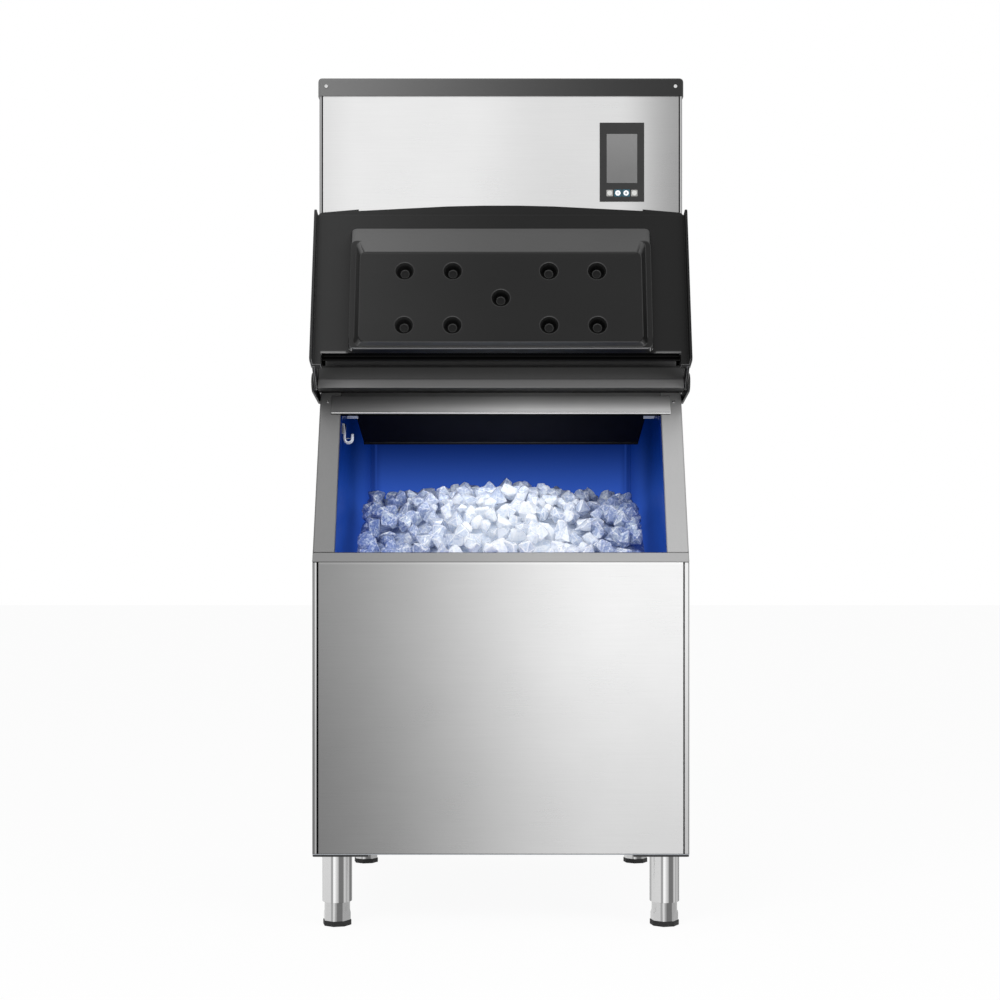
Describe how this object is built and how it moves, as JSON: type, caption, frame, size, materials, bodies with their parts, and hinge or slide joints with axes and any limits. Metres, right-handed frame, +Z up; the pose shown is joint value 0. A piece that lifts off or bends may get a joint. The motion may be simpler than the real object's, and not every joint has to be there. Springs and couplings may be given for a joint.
{
  "type": "commercial ice maker",
  "caption": "Commercial ice maker: an ice head on an insulated storage bin with a lift-up front door shown open over a heap of ice, on levelling legs.",
  "frame": {"origin": "on the floor under the middle of the bounding box, which runs from the open door's plug to the bin drain", "axes": "+Z up, the door and controls face -Y, +X to the right seen from the front"},
  "size_m": [0.781, 0.8465, 1.763],
  "materials": {
    "stainless_steel": "brushed stainless sheet",
    "galvanised_steel": "plain galvanised sheet",
    "foam_insulation": "foamed in place insulation",
    "blue_liner": "moulded blue liner",
    "dark_plastic": "dark grey moulded plastic",
    "white_plastic": "white moulded plastic",
    "ice": "clear wet ice",
    "bezel_plastic": "dark bezel",
    "screen_glass": "grey display window",
    "button_plastic": "blue button caps",
    "cap_plastic": "dark grey top cover",
    "copper": "copper tube and plate",
    "curtain_plastic": "pale curtain",
    "aluminium": "finned coil",
    "brass": "brass fitting",
    "black_enamel": "black enamel"
  },
  "bodies": {
    "cabinet": {"bin_side_panel_left": "stainless_steel", "bin_side_panel_right": "stainless_steel", "bin_front_panel": "stainless_steel", "bin_back_panel": "galvanised_steel", "bin_base": "galvanised_steel", "frame_rail_top": "stainless_steel", "frame_rail_bottom": "stainless_steel", "frame_rail_left": "stainless_steel", "frame_rail_right": "stainless_steel", "bin_insulation": "foam_insulation", "bin_liner": "blue_liner", "bin_drain": "white_plastic", "leg_front_left": "stainless_steel", "leg_front_right": "stainless_steel", "leg_back_left": "stainless_steel", "leg_back_right": "stainless_steel", "hood_strip": "dark_plastic", "hinge_bracket_left": "stainless_steel", "hinge_bracket_right": "stainless_steel", "hinge_pin_left": "stainless_steel", "hinge_pin_right": "stainless_steel", "ice_deflector": "dark_plastic", "deflector_clip_left": "white_plastic", "deflector_clip_right": "white_plastic", "scoop_hook": "white_plastic", "ice_heap": "ice", "head_base": "galvanised_steel", "head_side_panel_left": "stainless_steel", "head_side_panel_right": "stainless_steel", "head_back_panel": "galvanised_steel", "head_front_panel": "stainless_steel", "top_cover": "cap_plastic", "control_panel": "bezel_plastic", "display_screen": "screen_glass", "freezer_frame": "galvanised_steel", "evaporator": "copper", "water_distributor": "white_plastic", "water_trough": "white_plastic", "water_pump": "white_plastic", "compressor": "black_enamel", "condenser": "aluminium", "fan_shroud": "galvanised_steel", "fan_motor": "black_enamel", "electrical_box": "galvanised_steel", "water_inlet_valve": "brass", "drain_outlet": "white_plastic", "cable_gland": "black_enamel", "suction_line": "copper"},
    "door": {"door_shell": "dark_plastic", "door_plug": "dark_plastic"},
    "curtain": {"water_curtain": "curtain_plastic"},
    "fan": {"condenser_fan": "dark_plastic"},
    "button_power": {"button_power": "button_plastic"},
    "button_minus": {"button_minus": "button_plastic"},
    "button_plus": {"button_plus": "button_plastic"},
    "button_set": {"button_set": "button_plastic"},
    "foot_front_left": {"foot_front_left": "stainless_steel"},
    "foot_front_right": {"foot_front_right": "stainless_steel"},
    "foot_back_left": {"foot_back_left": "stainless_steel"},
    "foot_back_right": {"foot_back_right": "stainless_steel"}
  },
  "joints": [
    {"name": "door_hinge", "type": "hinge", "parent": "cabinet", "child": "door", "pos_m": [0, -0.3303, 1.115], "axis": [1, 0, 0], "range_deg": [0, 171.84]},
    {"name": "curtain_hinge", "type": "hinge", "parent": "cabinet", "child": "curtain", "pos_m": [-0.13, -0.0688, 1.6309], "axis": [-1, 0, 0], "range_deg": [0, 30]},
    {"name": "fan_spin", "type": "hinge", "parent": "cabinet", "child": "fan", "pos_m": [0.23001, 0.3304, 1.2806], "axis": [0, 1, 0], "continuous": true},
    {"name": "button_power_press", "type": "slide", "parent": "cabinet", "child": "button_power", "axis": [0, 1, 0], "range_m": [0, 0.0012], "stiffness_N_per_m": 400},
    {"name": "button_minus_press", "type": "slide", "parent": "cabinet", "child": "button_minus", "axis": [0, 1, 0], "range_m": [0, 0.0012], "stiffness_N_per_m": 400},
    {"name": "button_plus_press", "type": "slide", "parent": "cabinet", "child": "button_plus", "axis": [0, 1, 0], "range_m": [0, 0.0012], "stiffness_N_per_m": 400},
    {"name": "button_set_press", "type": "slide", "parent": "cabinet", "child": "button_set", "axis": [0, 1, 0], "range_m": [0, 0.0012], "stiffness_N_per_m": 400},
    {"name": "foot_front_left_level", "type": "slide", "parent": "cabinet", "child": "foot_front_left", "axis": [0, 0, 1], "range_m": [-0.02, 0]},
    {"name": "foot_front_right_level", "type": "slide", "parent": "cabinet", "child": "foot_front_right", "axis": [0, 0, 1], "range_m": [-0.02, 0]},
    {"name": "foot_back_left_level", "type": "slide", "parent": "cabinet", "child": "foot_back_left", "axis": [0, 0, 1], "range_m": [-0.02, 0]},
    {"name": "foot_back_right_level", "type": "slide", "parent": "cabinet", "child": "foot_back_right", "axis": [0, 0, 1], "range_m": [-0.02, 0]}
  ]
}
